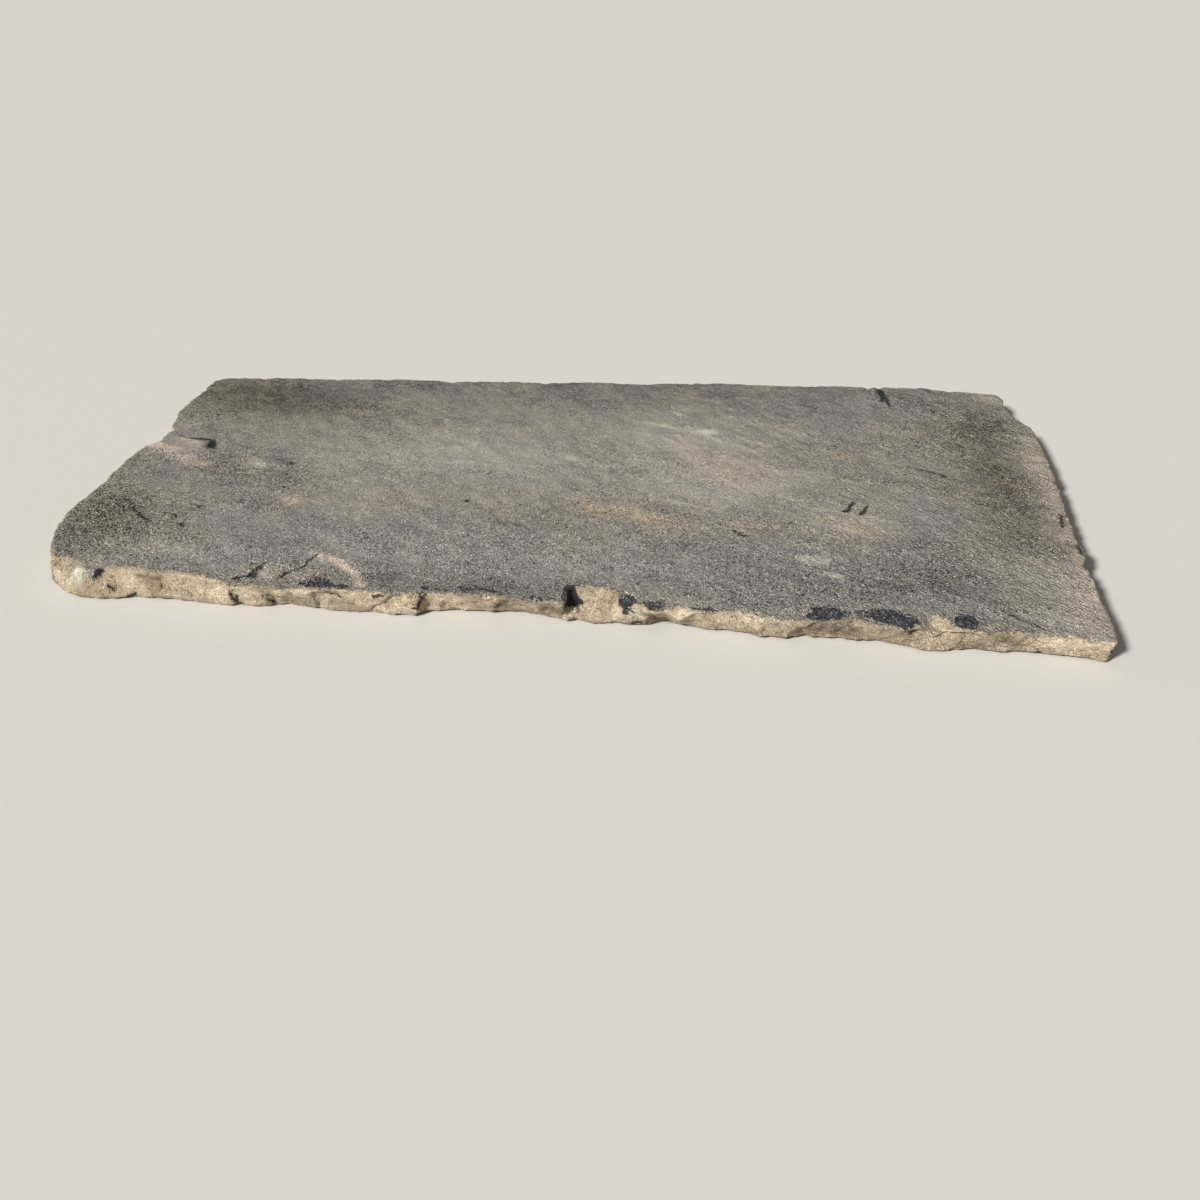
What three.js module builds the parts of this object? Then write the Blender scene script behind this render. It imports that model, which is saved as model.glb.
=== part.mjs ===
// A natural-cleft bluestone paver: one slab of sandstone, split along its bedding and broken to size by hand.
// Millimetres, +Z up, bed face on z = 0, the slab's box centred on the origin.
// +X runs along the long edge, and the front edge, with the fresh rock face, looks along -Y.

import * as THREE from 'three';

// Driving dimensions
const THICKNESS = 33;        // at the middle of the slab
const TAPER = 2;             // the left end is this much thicker than the middle, the right end this much thinner
const HALF_LENGTH = 610;     // half the slab's length along X
const SWELL = 1.1;           // height of the riven face's long waves
const ARRIS_WEAR = 1.6;      // how far the worn top arris lies below the face inside it
const BELLY = 2;             // how far the broken edge swells out between its arrises
const HEEL_HEIGHT = 4;       // height of the spalled lower arris
const HEEL_SPALL = 3;        // how far the bed stops short of the foot of the edge

// A patch of the next bed, left standing at the left edge: an oval, turned in degrees.
// The rim is the share of the way in over which it slopes up to its height.
const STANDING = { x: -535, y: 40, halfLength: 54, halfWidth: 32, turn: -33, height: 3.4, rim: 0.3 };

// The top arris, in four runs that go round the slab with the stone on their left.
// Each point is x, y and tuck: how far the foot of the broken edge stands back of the arris there.
// A negative tuck is a foot that stands out in front of it. A fourth number is how far the arris drops below the face.

// Front edge, from left to right
const FRONT = [
  // the round bulge at the left corner
  [-583, -275, -4], [-556, -293, -8], [-538, -301, -8], [-517, -303, -10], [-490, -300, -8],
  // the face falls back as it leaves the bulge
  [-455, -305, -3], [-412, -309, 0], [-385, -315, 3], [-345, -327, 9], [-300, -327, 19], [-275, -326, 14],
  [-250, -327, 9], [-207, -325, 8], [-181, -327, 7], [-150, -323, 4], [-120, -318, 11], [-94, -320, 13],
  [-69, -324, 17], [-44, -327, 21], [-13, -332, 23], [17, -329, 17],
  // the deep scoop, with its lip left standing below
  [15, -308, -8], [21, -296, -22], [34, -292, -28], [47, -294, -30], [60, -299, -26], [73, -302, -22],
  // the small scoop and the tooth beside it, then an undercut
  [76, -324, 6], [94, -330, 14], [107, -343, 32], [122, -342, 36],
  // a small rise, where the break climbs into the face
  [134, -341, 26, 4], [146, -341, 25, 8],
  // the long middle stretch, whose foot swings out and back again
  [158, -340, 22, 3], [175, -338, 13], [205, -333, 7], [227, -339, 4], [258, -349, 14], [280, -349, 20],
  [317, -342, 10], [334, -339, 9], [353, -349, 16], [382, -357, 18],
  // the hump, where the break climbs into the face
  [396, -355, 10, 3], [409, -350, 2, 9], [424, -350, 1, 9], [438, -354, 9, 3],
  // the straight stretch to the right corner
  [452, -354, 15], [482, -355, 12], [520, -353, 9], [550, -358, 13], [598, -361, 6],
];

// Right edge, from front to back
const RIGHT = [
  [602, -345, 0], [603, -302, -3], [601, -266, -4], [603, -224, 4],
  // two small chips
  [599, -182, -5], [605, -167, 4], [606, -147, 10], [602, -119, 7],
  [604, -83, 9], [605, -39, 8], [607, 3, 10], [610, 50, 11], [610, 105, 12], [609, 182, 9], [606, 218, 9],
  // the corner that is broken off
  [591, 246, 5], [584, 275, 7], [580, 303, 8], [582, 318, 9],
];

// Back edge, from right to left
const BACK = [
  [577, 339, 9], [536, 346, 6], [506, 349, 7], [486, 354, 9], [471, 360, 11], [444, 357, 8], [415, 361, 10],
  // a notch
  [400, 356, 6], [392, 348, 0], [386, 356, 7],
  [341, 357, 8], [292, 351, 6], [174, 347, 7], [108, 341, 5], [49, 333, 8], [-10, 333, 10], [-89, 324, 6],
  [-130, 327, 9], [-208, 318, 5], [-249, 320, 8], [-330, 320, 7], [-428, 312, 8], [-482, 314, 8],
  [-505, 306, 5], [-533, 308, 7], [-560, 303, 8],
];

// Left edge, from back to front
const LEFT = [
  [-573, 289, 7], [-578, 224, 7], [-583, 190, 8],
  // the tooth and the step below it
  [-585, 163, 10], [-580, 141, 5], [-578, 116, 7], [-574, 76, 4], [-570, 57, 3], [-580, 51, 8], [-590, 44, 10],
  [-593, 18, 9], [-597, -12, 8], [-601, -48, 9], [-598, -67, 7], [-607, -126, 8], [-610, -163, 9], [-608, -197, 6],
  [-602, -226, 2], [-593, -253, -1],
];

const ARRIS = [...FRONT, ...RIGHT, ...BACK, ...LEFT];

// Level loops down the broken edge: share of the local thickness, share of the tuck, outward swell
const EDGE_LOOPS = [
  { height: 0.78, tuck: 0.10, swell: 0.4 * BELLY },
  { height: 0.45, tuck: 0.42, swell: BELLY },
];

// Loops on the top face, as shares of the way from the spine out to the arris
const FACE_LOOPS = [0.985, 0.95, 0.91, 0.87, 0.82, 0.76, 0.68, 0.54, 0.36, 0.18];
const SPINE_HALF = 250;      // the spine is a line through the middle of the face, this far each way along X
const NORMAL_REACH = 80;     // the edge's outward direction evens out chips smaller than this

/** Height of the standing patch above the face: flat on top, with an eased slope at its rim. */
function standingHeight(x, y) {
  const place = new THREE.Vector2(x - STANDING.x, y - STANDING.y);
  place.rotateAround(new THREE.Vector2(), -THREE.MathUtils.degToRad(STANDING.turn));
  const distance = Math.hypot(place.x / STANDING.halfLength, place.y / STANDING.halfWidth);
  return STANDING.height * THREE.MathUtils.smoothstep(1 - distance, 0, STANDING.rim);
}

/** Height of the riven top face: the taper, a few long low waves and the standing patch. */
function faceHeight(x, y) {
  const taper = -TAPER * x / HALF_LENGTH;
  const waves = 0.6 * Math.sin(x / 130 + y / 210 + 0.4) + 0.4 * Math.sin(x / 62 - y / 88 + 2.1)
    + 0.35 * Math.sin(y / 47 + x / 190);
  return THICKNESS + taper + SWELL * waves + standingHeight(x, y);
}

/** Outward unit normal of the edge at each arris point: square to the outline's run nearby, small chips evened out. */
function outwardNormals(points) {
  const corners = points.map(([x, y]) => new THREE.Vector2(x, y));
  return corners.map((corner) => {
    const run = new THREE.Vector2();
    corners.forEach((start, j) => {
      const end = corners[(j + 1) % corners.length];
      const distance = start.clone().add(end).multiplyScalar(0.5).distanceTo(corner);
      run.addScaledVector(end.clone().sub(start), Math.exp(-((distance / NORMAL_REACH) ** 2)));
    });
    run.normalize();
    return new THREE.Vector2(run.y, -run.x);
  });
}

/** The nearest point of the slab's spine, which the face loops shrink towards. */
function spinePoint(x) {
  return THREE.MathUtils.clamp(x, -SPINE_HALF, SPINE_HALF);
}

/** All loops from the middle of the top face outwards, over the arris and down to the bed, as lists of points. */
function slabLoops() {
  const normals = outwardNormals(ARRIS);
  const loops = [];
  for (const share of [...FACE_LOOPS].reverse()) {
    loops.push(ARRIS.map(([x, y]) => {
      const spineX = spinePoint(x);
      const px = spineX + share * (x - spineX);
      const py = share * y;
      return new THREE.Vector3(px, py, faceHeight(px, py));
    }));
  }
  loops.push(ARRIS.map(([x, y, , drop = 0]) => new THREE.Vector3(x, y, faceHeight(x, y) - ARRIS_WEAR - drop)));
  for (const loop of EDGE_LOOPS) {
    loops.push(ARRIS.map(([x, y, tuck, drop = 0], i) => {
      const out = loop.swell - loop.tuck * tuck;
      return new THREE.Vector3(x + out * normals[i].x, y + out * normals[i].y, loop.height * (faceHeight(x, y) - drop));
    }));
  }
  for (const [spall, height] of [[0, HEEL_HEIGHT], [HEEL_SPALL, 0]]) {
    loops.push(ARRIS.map(([x, y, tuck], i) => {
      const out = -tuck - spall;
      return new THREE.Vector3(x + out * normals[i].x, y + out * normals[i].y, height);
    }));
  }
  return loops;
}

/** Joins the loops into one closed body: a fan inside the first loop, bands between loops, the flat bed last. */
function slabGeometry() {
  const loops = slabLoops();
  const count = ARRIS.length;
  const middle = loops.length * count;
  const positions = [...loops.flat(), new THREE.Vector3(0, 0, faceHeight(0, 0))].flatMap((point) => point.toArray());
  const indices = [];
  for (let i = 0; i < count; i += 1) indices.push(middle, i, (i + 1) % count);
  for (let ring = 0; ring < loops.length - 1; ring += 1) {
    for (let i = 0; i < count; i += 1) {
      const next = (i + 1) % count;
      const inner = ring * count;
      const outer = inner + count;
      indices.push(inner + i, outer + i, outer + next);
      indices.push(inner + i, outer + next, inner + next);
    }
  }
  const bed = (loops.length - 1) * count;
  const bedOutline = loops[loops.length - 1].map((point) => new THREE.Vector2(point.x, point.y));
  for (const [a, b, c] of THREE.ShapeUtils.triangulateShape(bedOutline, [])) {
    indices.push(bed + a, bed + c, bed + b);
  }
  const geometry = new THREE.BufferGeometry();
  geometry.setAttribute('position', new THREE.Float32BufferAttribute(positions, 3));
  geometry.setIndex(indices);
  geometry.computeVertexNormals();
  return geometry;
}

const stone = new THREE.MeshStandardMaterial({ color: 0x8f8a80, roughness: 0.93, metalness: 0 });
const paver = new THREE.Mesh(slabGeometry(), stone);
paver.name = 'paver';

const slab = new THREE.Group();
slab.add(paver);

export default slab;
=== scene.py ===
import math

import bpy
import numpy as np
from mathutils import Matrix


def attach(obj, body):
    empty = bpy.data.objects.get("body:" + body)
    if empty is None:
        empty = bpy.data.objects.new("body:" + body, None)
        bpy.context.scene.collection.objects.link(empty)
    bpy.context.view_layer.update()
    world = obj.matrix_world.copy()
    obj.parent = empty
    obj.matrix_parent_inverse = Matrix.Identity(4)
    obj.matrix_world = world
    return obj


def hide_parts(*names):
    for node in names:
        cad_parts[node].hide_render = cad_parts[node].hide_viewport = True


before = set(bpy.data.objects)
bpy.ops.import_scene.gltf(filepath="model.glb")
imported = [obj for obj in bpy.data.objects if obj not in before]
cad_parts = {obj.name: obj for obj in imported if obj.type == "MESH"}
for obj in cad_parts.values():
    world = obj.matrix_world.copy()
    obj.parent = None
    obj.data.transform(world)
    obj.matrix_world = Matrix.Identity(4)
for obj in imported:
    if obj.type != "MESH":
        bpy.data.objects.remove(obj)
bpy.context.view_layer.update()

# ---------------------------------------------------------------------------------------------------------
# Viewpoint
# The slab lies flat and is seen by someone who stands in front of it, a little right of its middle, and looks
# down on the riven face at about 30 degrees, so that the broken front edge shows along its whole length.

EYE = (0.177, -1.718, 0.820)
LOOK_DOWN = math.radians(29.3)
LOOK_LEFT = math.radians(5.0)
FOCAL_LENGTH = 44.2      # millimetres, for a frame 36 mm wide

lens = bpy.data.cameras.new("viewpoint")
lens.lens = FOCAL_LENGTH
viewpoint = bpy.data.objects.new("viewpoint", lens)
viewpoint.location = EYE
viewpoint.rotation_euler = (math.pi / 2 - LOOK_DOWN, 0.0, LOOK_LEFT)
bpy.context.collection.objects.link(viewpoint)
bpy.context.scene.camera = viewpoint

# ---------------------------------------------------------------------------------------------------------
# Slab
# One bluestone paver, a fine sandstone split along its bedding, so its riven face and its bed are bedding
# planes. Its edges were broken to size with a hammer, the front one last. Weather has greyed and stained the
# face, and the breaks show the cream stone under that skin. The slab lies on its bed.

THICKNESS = 0.033        # at the middle of the slab
TAPER = 0.002            # the left end is this much thicker than the middle, the right end this much thinner
HALF_LENGTH = 0.610
SWELL = 0.0011           # height of the riven face's long waves

# The top arris in four runs that go round the slab with the stone on their left. Each point is x, y and tuck:
# how far the foot of the broken edge stands back of the arris, or in front of it where the tuck is negative.
FRONT = [
    # the round bulge at the left corner
    (-0.583, -0.275, -0.005), (-0.556, -0.293, -0.010), (-0.538, -0.301, -0.012), (-0.517, -0.303, -0.012),
    (-0.490, -0.300, -0.009),
    # the face falls back as it leaves the bulge
    (-0.455, -0.305, -0.003), (-0.412, -0.309, 0.000), (-0.385, -0.315, 0.003), (-0.345, -0.327, 0.009),
    (-0.300, -0.327, 0.019), (-0.275, -0.326, 0.014), (-0.250, -0.327, 0.009), (-0.207, -0.325, 0.008),
    (-0.181, -0.327, 0.007), (-0.150, -0.323, 0.004), (-0.120, -0.318, 0.011), (-0.094, -0.320, 0.013),
    (-0.069, -0.324, 0.017), (-0.044, -0.327, 0.021), (-0.013, -0.332, 0.023), (0.017, -0.329, 0.017),
    # the deep scoop, with its lip left standing below
    (0.015, -0.308, -0.008), (0.021, -0.296, -0.022), (0.034, -0.292, -0.028), (0.047, -0.294, -0.030),
    (0.060, -0.299, -0.026), (0.073, -0.302, -0.022),
    # the small scoop and the tooth beside it
    (0.076, -0.324, 0.006), (0.094, -0.330, 0.014), (0.107, -0.343, 0.032), (0.122, -0.342, 0.036),
    (0.134, -0.341, 0.026), (0.146, -0.341, 0.025),
    # the long middle stretch, whose foot swings out and back again
    (0.158, -0.340, 0.022), (0.175, -0.338, 0.013), (0.205, -0.333, 0.007), (0.227, -0.339, 0.004),
    (0.258, -0.349, 0.014), (0.280, -0.349, 0.020), (0.317, -0.342, 0.010), (0.334, -0.339, 0.009),
    (0.353, -0.349, 0.016), (0.382, -0.357, 0.018),
    # the hump, where the break climbs into the face
    (0.396, -0.355, 0.010), (0.409, -0.350, 0.002), (0.424, -0.350, 0.001), (0.438, -0.354, 0.009),
    # the straight stretch to the right corner
    (0.452, -0.354, 0.015), (0.482, -0.355, 0.012), (0.520, -0.353, 0.009), (0.550, -0.358, 0.013),
    (0.598, -0.361, 0.006),
]
RIGHT = [
    (0.602, -0.345, 0.000), (0.603, -0.302, -0.003), (0.601, -0.266, -0.004), (0.603, -0.224, 0.004),
    # two small chips
    (0.599, -0.182, -0.005), (0.605, -0.167, 0.004), (0.606, -0.147, 0.010), (0.602, -0.119, 0.007),
    (0.604, -0.083, 0.009), (0.605, -0.039, 0.008), (0.607, 0.003, 0.010), (0.610, 0.050, 0.011),
    (0.610, 0.105, 0.012), (0.609, 0.182, 0.009), (0.606, 0.218, 0.009),
    # the corner that is broken off
    (0.591, 0.246, 0.005), (0.584, 0.275, 0.007), (0.580, 0.303, 0.008), (0.582, 0.318, 0.009),
]
BACK = [
    (0.577, 0.339, 0.009), (0.536, 0.346, 0.006), (0.506, 0.349, 0.007), (0.486, 0.354, 0.009),
    (0.471, 0.360, 0.011), (0.444, 0.357, 0.008), (0.415, 0.361, 0.010),
    # a notch
    (0.400, 0.356, 0.006), (0.392, 0.348, 0.000), (0.386, 0.356, 0.007),
    (0.341, 0.357, 0.008), (0.292, 0.351, 0.006), (0.174, 0.347, 0.007), (0.108, 0.341, 0.005),
    (0.049, 0.333, 0.008), (-0.010, 0.333, 0.010), (-0.089, 0.324, 0.006), (-0.130, 0.327, 0.009),
    (-0.208, 0.318, 0.005), (-0.249, 0.320, 0.008), (-0.330, 0.320, 0.007), (-0.428, 0.312, 0.008),
    (-0.482, 0.314, 0.008), (-0.505, 0.306, 0.005), (-0.533, 0.308, 0.007), (-0.560, 0.303, 0.008),
]
LEFT = [
    (-0.573, 0.289, 0.007), (-0.578, 0.224, 0.007), (-0.583, 0.190, 0.008),
    # the tooth and the step below it
    (-0.585, 0.163, 0.010), (-0.580, 0.141, 0.005), (-0.578, 0.116, 0.007), (-0.574, 0.076, 0.004),
    (-0.570, 0.057, 0.003), (-0.580, 0.051, 0.008), (-0.590, 0.044, 0.010),
    (-0.597, -0.012, 0.008), (-0.601, -0.048, 0.009), (-0.598, -0.067, 0.007), (-0.607, -0.126, 0.008),
    (-0.610, -0.163, 0.009), (-0.608, -0.197, 0.006), (-0.602, -0.226, 0.002), (-0.593, -0.253, -0.001),
]
RUNS = (FRONT, RIGHT, BACK, LEFT)
COLUMNS = (524, 304, 524, 304)      # columns of the mesh along each run
AGE = (0.0, 0.4, 0.7, 0.6)          # how weathered each edge is: 0 is a fresh break
ROUNDED = 0.0016         # bends of the arris tighter than this are rounded off
CHIP = 0.035             # the edge's outward direction evens out chips smaller than this
AGE_BLEND = 0.012        # over how far one edge's weathering runs into the next one's
PRIMES = np.array([73856093, 19349663, 83492791])       # they keep the numbers of neighbouring cells apart
SEED_STEP = 1013904223
MIXING = ((16, 0x7FEB352D), (15, 0x846CA68B), (16, 1))  # bits to shift by, and the odd factor that follows
WORD = 0xFFFFFFFF        # the largest whole number of 32 bits
LAYER_SEEDS = 17         # how far apart the seeds of two layers of noise are
NOISE_SPAN = 1.6         # brings the noise to about -1 to 1


def spread(run, count):
    """count rows, evenly spaced by distance along a run of points, from its first point to just short of its
    last one: each column is read off between the two points on either side."""
    gaps = np.hypot(*np.diff(run[:, :2], axis=0).T)
    along = np.concatenate([[0.0], np.cumsum(gaps)])
    places = np.linspace(0.0, along[-1], count + 1)[:-1]
    return np.stack([np.interp(places, along, column) for column in run.T], axis=1)


def even_out(values, reach):
    """Values round the ring with what is shorter than reach smoothed away: each is a mean of its neighbours,
    weighted by a bell of that half width, worked out by damping the quick waves of the whole ring."""
    cycles = np.fft.rfftfreq(len(values), d=STEP)
    bell = np.exp(-2.0 * (math.pi * cycles * reach) ** 2)
    return np.fft.irfft(np.fft.rfft(values, axis=0) * bell[:, None], n=len(values), axis=0)


def shuffle(cells, seed):
    """A repeatable number from 0 to 1 for each lattice cell: its three whole numbers mixed bit by bit."""
    bits = cells.astype(np.int64) @ PRIMES + seed * SEED_STEP
    bits = (bits & WORD).astype(np.uint32)
    for shift, factor in MIXING:
        bits ^= bits >> np.uint32(shift)
        bits *= np.uint32(factor)
    return bits.astype(np.float64) / WORD


def noise(points, size, seed, layers=1):
    """Smooth random height, about -1 to 1, with hills as wide as size: random slopes at the corners of a
    lattice, eased into each other. Each further layer is half as wide and half as high."""
    total = np.zeros(points.shape[:-1])
    for layer in range(layers):
        place = points / size * 2 ** layer
        cell = np.floor(place)
        inside = place - cell
        ease = inside ** 3 * (inside * (inside * 6 - 15) + 10)
        for corner in np.ndindex(2, 2, 2):
            slopes = [shuffle(cell + corner, seed + LAYER_SEEDS * layer + axis) * 2 - 1 for axis in range(3)]
            reach = inside - corner
            share = np.prod(np.where(corner, ease, 1 - ease), axis=-1)
            rise = sum(slope * reach[..., axis] for axis, slope in enumerate(slopes))
            total += share * rise * NOISE_SPAN / 2 ** layer
    return total


def flakes(points, size, seed):
    """Hollows that meet in sharp ridges, 0 in the middle of each and about 1 on the ridges: the squared
    distance to the nearest of random seeds, one in each cell of a lattice."""
    place = points / size
    cell = np.floor(place)
    nearest = np.full(points.shape[:-1], np.inf)
    for offset in np.ndindex(3, 3, 3):
        near = cell + offset - 1
        seed_point = near + np.stack([shuffle(near, seed + axis) for axis in range(3)], axis=-1)
        nearest = np.minimum(nearest, ((place - seed_point) ** 2).sum(axis=-1))
    return nearest


def ramp(value, low, high):
    """0 below low, 1 above high, and an eased rise between them."""
    share = np.clip((value - low) / (high - low), 0.0, 1.0)
    return share * share * (3 - 2 * share)


def flat(x, y, z=0.0):
    """Points for the noise functions from separate coordinates."""
    return np.stack(np.broadcast_arrays(x, y, z), axis=-1).astype(float)


def local(x, y, middle, half, turn):
    """Coordinates along and across an oval, 0 at its middle and 1 at its rim: the way from its middle, turned
    back by its angle and divided by its half length and its half width."""
    along = (x - middle[0]) * math.cos(turn) + (y - middle[1]) * math.sin(turn)
    across = (y - middle[1]) * math.cos(turn) - (x - middle[0]) * math.sin(turn)
    return along / half[0], across / half[1]


# Scars on the riven face: middle, half length and width, turn in degrees, depth, lean and softness. The lean
# is the share of the depth by which the floor climbs along the scar, and the softness is the rim's share of
# the way in to the middle. A negative depth is bedding left standing.
SCARS = [
    ((-0.262, -0.300), (0.052, 0.048), -12, 0.0046, 0.9, 0.20),     # two flakes by the front edge
    ((-0.326, -0.300), (0.016, 0.024), 20, 0.0034, 0.7, 0.25),
    ((-0.535, 0.040), (0.054, 0.032), -33, -0.0036, 0.0, 0.26),     # bedding left standing at the left edge
    ((-0.404, 0.002), (0.036, 0.020), -24, -0.0028, 0.0, 0.80),
    ((-0.560, -0.165), (0.062, 0.046), 60, 0.0024, 0.2, 0.80),      # a hollow in the left front corner
    ((0.340, -0.068), (0.013, 0.007), 50, 0.0022, 0.6, 0.25),       # the two comma pits
    ((0.357, -0.076), (0.011, 0.006), 50, 0.0020, 0.6, 0.25),
    ((0.300, -0.334), (0.032, 0.013), 0, 0.0018, 0.8, 0.25),        # flakes off the front arris
    ((0.372, -0.344), (0.024, 0.019), 0, 0.0020, 0.8, 0.25),
    ((0.119, -0.331), (0.014, 0.009), 0, 0.0022, 0.8, 0.20),
    ((0.170, -0.333), (0.020, 0.007), 0, 0.0017, 0.8, 0.20),
    ((0.446, -0.336), (0.012, 0.017), 0, 0.0020, 0.8, 0.25),
    ((0.083, -0.322), (0.010, 0.016), 0, 0.0065, 0.6, 0.20),        # the small scoop
    ((0.417, -0.354), (0.026, 0.034), 0, 0.0105, 0.0, 1.00),        # the face dips into the hump
    ((-0.524, -0.292), (0.015, 0.011), 0, 0.0032, 0.3, 0.50),       # two dents in the round bulge
    ((-0.546, -0.292), (0.010, 0.008), 0, 0.0016, 0.6, 0.30),
    ((0.415, 0.325), (0.010, 0.040), 10, 0.0020, 0.5, 0.30),        # a groove that runs to the back notch
    ((0.143, -0.346), (0.017, 0.019), 0, 0.0100, 0.0, 1.00),        # and into a small rise by the scoop
    ((0.061, -0.304), (0.004, 0.011), 0, 0.0060, 0.0, 0.50),        # the notch in the scoop's crest
]
SLANT = math.radians(-54)           # the way the ripples of the riven face run
LAMINA = 0.0004                     # thickness of the thin beds that end on the face and on the underside
FACE_LEVELS = (-0.42, -0.12, 0.16, 0.47)
BED_LEVELS = (-0.25, 0.10, 0.40)    # a bed ends wherever the drift, a smooth noise, crosses one of its levels
STEP_WIDTH = 0.035                  # in the same measure as the levels


def face_height(x, y):
    """Height of the riven face: a slight taper and three long low waves, low swells, a slanting ripple that
    is higher on the right, dimples that fade out towards the back, a few steps where a thin bed ends in a
    ragged line, and the scars, each an oval floor with a sharp rim and a leaning bottom."""
    waves = (0.6 * np.sin(x / 0.130 + y / 0.210 + 0.4) + 0.4 * np.sin(x / 0.062 - y / 0.088 + 2.1)
             + 0.35 * np.sin(y / 0.047 + x / 0.190))
    height = THICKNESS - TAPER * x / HALF_LENGTH + SWELL * waves
    height += 0.0006 * noise(flat(x, y), 0.07, 11, layers=3)
    along, across = local(x, y, (0.0, 0.0), (2.0, 1.0), SLANT)
    height += (0.0004 + 0.0004 * ramp(x, -0.2, 0.4)) * noise(flat(along, across), 0.017, 13, layers=2)
    height += 0.0005 * noise(flat(x * 0.8, y), 0.032, 14) * ramp(-y, -0.15, 0.2)
    drift = noise(flat(x, y * 1.6 + x * 0.5), 0.22, 12, layers=4)
    for level in FACE_LEVELS:
        height += LAMINA * ramp(drift, level, level + STEP_WIDTH)
    for index, (middle, half, turn, depth, lean, softness) in enumerate(SCARS):
        along, across = local(x, y, middle, half, math.radians(turn))
        ragged = 0.22 * noise(flat(x, y), 0.018, 40 + index, layers=2)
        floor = ramp(1.0 - np.hypot(along, across) + ragged, 0.0, softness)
        height -= depth * floor * (1.0 - lean * 0.5 * (1.0 + np.clip(along, -1, 1)))
    return height


def bed_height(x, y):
    """Height of the underside above the ground: swells and steps like the face's, that only rise from it."""
    drift = noise(flat(x * 1.3, y), 0.20, 31, layers=4)
    steps = sum(ramp(drift, level, level + STEP_WIDTH) for level in BED_LEVELS)
    return LAMINA * (1.0 + noise(flat(x, y), 0.06, 32, layers=4)) + LAMINA * steps


# The ring of stations round the arris, with each edge's outward direction
closed = [np.array(run + following[:1]) for run, following in zip(RUNS, RUNS[1:] + RUNS[:1])]
ring = np.concatenate([spread(run, count) for run, count in zip(closed, COLUMNS)])
AROUND = len(ring)
STEP = np.hypot(*(np.roll(ring[:, :2], -1, axis=0) - ring[:, :2]).T).mean()
ring = even_out(ring, ROUNDED)
age = even_out(np.repeat(AGE, COLUMNS)[:, None], AGE_BLEND)[:, 0]
course = even_out(ring[:, :2], CHIP)
run_on = np.roll(course, -1, axis=0) - np.roll(course, 1, axis=0)
run_on /= np.hypot(*run_on.T)[:, None]
outward = np.stack([run_on[:, 1], -run_on[:, 0]], axis=1)
set_back = ((course - ring[:, :2]) * outward).sum(axis=1)
on_front = ring[:, 1] < -0.2

# The arris itself is ragged: small bites of a few millimetres, and a fine tooth
foot = flat(ring[:, 0], ring[:, 1])
bite = 0.0035 * ramp(noise(foot, 0.030, 51), 0.25, 0.7) + 0.0016 * ramp(noise(foot, 0.011, 52), 0.15, 0.6)
tooth = 0.0011 * noise(foot, 0.014, 53, layers=3)
arris = ring[:, :2] + outward * (tooth - bite)[:, None]
tuck = ring[:, 2] + 0.0030 * noise(foot, 0.040, 54, layers=3)

# Rows of the mesh, from the riven face's margin out to the arris, down the broken edge, and in again under it
MARGIN = (1.0, 0.84, 0.67, 0.5, 0.35, 0.22, 0.12, 0.05, 0.0)        # shares of the way in to the field
EDGE = np.linspace(0.0, 1.0, 15)[1:]                                # shares of the way down to the foot
HEEL = ((0.35, 0.0012), (0.06, 0.0036))                             # share of the foot's height, and inset
UNDER = (0.08, 0.3, 0.62, 1.0)                                      # shares of the way in to the field
SPINE = 0.25             # the field shrinks towards a line through the middle, this far each way along X
FIELD = 0.87             # size of the field inside the margin, as a share of the way out from the spine
WEAR = 0.0012            # the arris is worn this far below the face
NOTCHES = [              # bites out of the foot of the front edge: x, half width, height
    (-0.477, 0.009, 0.010), (-0.356, 0.008, 0.011), (-0.315, 0.008, 0.008), (-0.140, 0.010, 0.009),
    (0.022, 0.006, 0.008), (0.108, 0.008, 0.009), (0.270, 0.013, 0.011), (0.313, 0.007, 0.007),
    (0.436, 0.006, 0.006),
]
SHELLS = [               # shell-shaped breaks of the front edge: x where one steps in, lean, depth and reach
    (0.062, -0.3, 0.0034, 0.016), (-0.497, -1.0, 0.0030, 0.030), (-0.452, 0.4, 0.0020, 0.020),
    (-0.360, -0.4, 0.0050, 0.040),
    (-0.317, -0.7, 0.0036, 0.030), (-0.266, 0.1, 0.0046, 0.050), (-0.192, 1.2, 0.0036, 0.030),
    (-0.146, 0.4, 0.0060, 0.060), (-0.060, 0.4, 0.0042, 0.045), (0.175, -0.4, 0.0034, 0.030),
    (0.270, 1.0, 0.0040, 0.040), (0.330, -0.5, 0.0030, 0.035), (0.500, 0.5, 0.0016, 0.050),
    (0.560, -0.3, 0.0014, 0.030),
]
BELLY = 0.0018           # how far the broken edge swells out between its arrises
LEDGE = 0.0065           # thickness of the beds that show as faint ledges on the broken edge


def shrunk(outline, share):
    """The outline drawn in towards the spine, to this share of the way out from it."""
    spine = np.stack([np.clip(outline[:, 0], -SPINE, SPINE), np.zeros(len(outline))], axis=1)
    return spine + share * (outline - spine)


field = shrunk(course, FIELD)
rows = []                # each row is x, y, z and rim: the way from the arris, negative on the face
for share in MARGIN:
    x, y = (arris + share * (field - arris)).T
    inward = share * np.hypot(*(field - arris).T)
    nibble = 0.0022 * ramp(noise(foot, 0.016, 56, layers=2), 0.1, 0.8) * np.exp(-(inward / 0.004) ** 2)
    worn = WEAR * (1 + age) * np.exp(-inward / 0.002)
    rows.append([x, y, face_height(x, y) - worn - nibble, -inward])

top = rows[-1][2]
base = 0.0035 + 0.0025 * noise(foot, 0.050, 57, layers=2) + 0.25 * np.clip(-tuck, 0, 0.024)
for x, width, height in NOTCHES:
    base += height * np.clip(1 - np.abs(ring[:, 0] - x) / width, 0, 1) * on_front

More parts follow.
